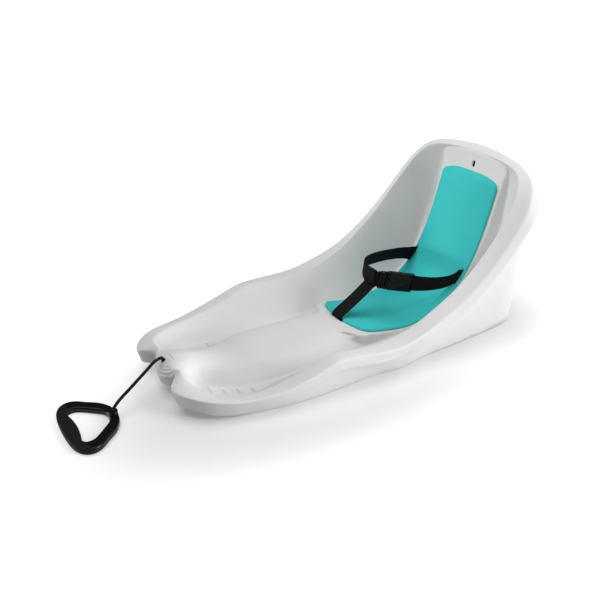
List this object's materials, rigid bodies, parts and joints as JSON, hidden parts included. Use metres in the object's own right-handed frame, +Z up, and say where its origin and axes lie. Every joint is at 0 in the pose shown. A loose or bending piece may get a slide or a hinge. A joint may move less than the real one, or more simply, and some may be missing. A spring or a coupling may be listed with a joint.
{
  "type": "baby pull sled",
  "caption": "Low moulded sled with leg channels, high backrest, padded seat, lap harness with side-release buckle, and a pull rope with a hand loop.",
  "frame": {"origin": "on the ground under the middle of the hull's length and width; the rope and the hand loop are left out of that middle", "axes": "+Y points to the backrest, +Z up, +X to the seated child's left"},
  "size_m": [0.4482, 1.0822, 0.3807],
  "materials": {
    "hull_plastic": "satin white moulded polyethylene",
    "mat_foam": "matte teal closed-cell foam",
    "bar_plastic": "black plastic",
    "webbing": "black woven webbing",
    "buckle_plastic": "satin black acetal",
    "rope": "black braided cord",
    "handle_plastic": "glossy black moulded plastic",
    "grip_rubber": "matte dark grey soft grip"
  },
  "bodies": {
    "sled": {"hull_shell": "hull_plastic", "seat_mat": "mat_foam", "lap_anchor_bar_left": "bar_plastic", "lap_anchor_bar_right": "bar_plastic", "crotch_anchor_bar": "bar_plastic", "crotch_strap": "webbing", "lap_strap_right": "webbing", "lap_strap_left": "webbing", "buckle_plug": "buckle_plastic", "buckle_socket": "buckle_plastic", "pull_rope": "rope", "rope_knot": "rope"},
    "prong_upper": {"buckle_prong_upper": "buckle_plastic"},
    "prong_lower": {"buckle_prong_lower": "buckle_plastic"},
    "hand_loop": {"handle_knot": "rope", "handle_frame": "handle_plastic", "handle_grip": "grip_rubber"}
  },
  "joints": [
    {"name": "prong_upper_press", "type": "hinge", "parent": "sled", "child": "prong_upper", "pos_m": [0.03215, 0.13907, 0.12442], "axis": [-0.9606, 0.2779, 0], "range_deg": [0, 6], "stiffness_Nm_per_rad": 1},
    {"name": "prong_lower_press", "type": "hinge", "parent": "sled", "child": "prong_lower", "pos_m": [0.03036, 0.13289, 0.09922], "axis": [0.9606, -0.2779, 0], "range_deg": [0, 6], "stiffness_Nm_per_rad": 1},
    {"name": "handle_lift", "type": "hinge", "parent": "sled", "child": "hand_loop", "pos_m": [0, -0.41617, 0.07084], "axis": [-1, 0, 0], "range_deg": [0, 75], "deforming": ["pull_rope"]}
  ],
  "couplings": [
    {"joint": "prong_lower_press", "follows": "prong_upper_press", "ratio": 1}
  ]
}
